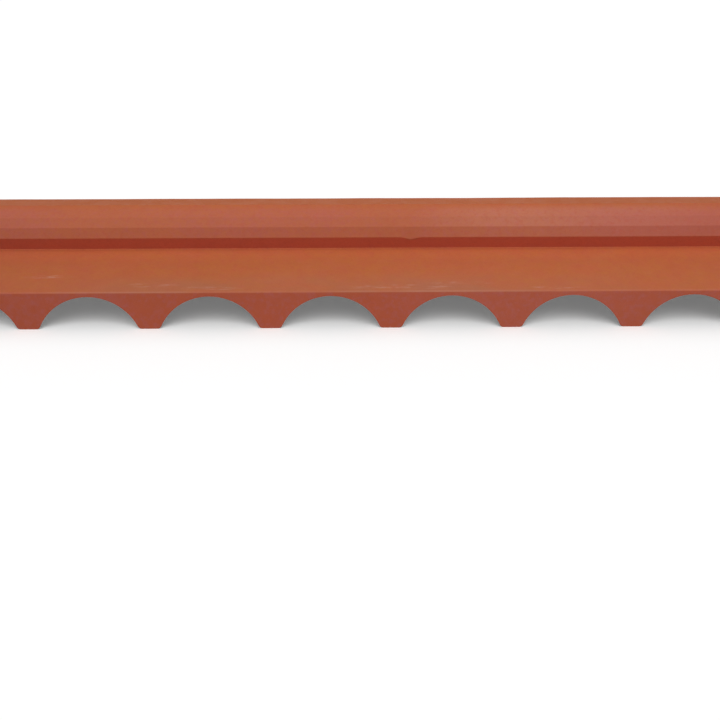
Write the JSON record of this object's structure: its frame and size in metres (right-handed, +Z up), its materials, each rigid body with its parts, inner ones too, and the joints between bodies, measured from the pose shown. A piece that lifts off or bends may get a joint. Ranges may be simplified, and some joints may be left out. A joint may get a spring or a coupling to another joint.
{
  "type": "roof ridge cap",
  "caption": "Folded sheet-steel ridge cap with a box-shaped crown, sloping wings and scalloped skirts that close the waves of tile-effect roof sheet at the ridge.",
  "frame": {"origin": "middle of the cap's length and width, on the level of the teeth it stands on", "axes": "+X along the ridge, +Z up, -Y towards the front skirt that the picture shows"},
  "size_m": [2.1, 0.359, 0.1675],
  "materials": {
    "coated_sheet": "matte terracotta coil coating"
  },
  "bodies": {
    "root": {"ridge_cap": "coated_sheet"}
  },
  "joints": []
}
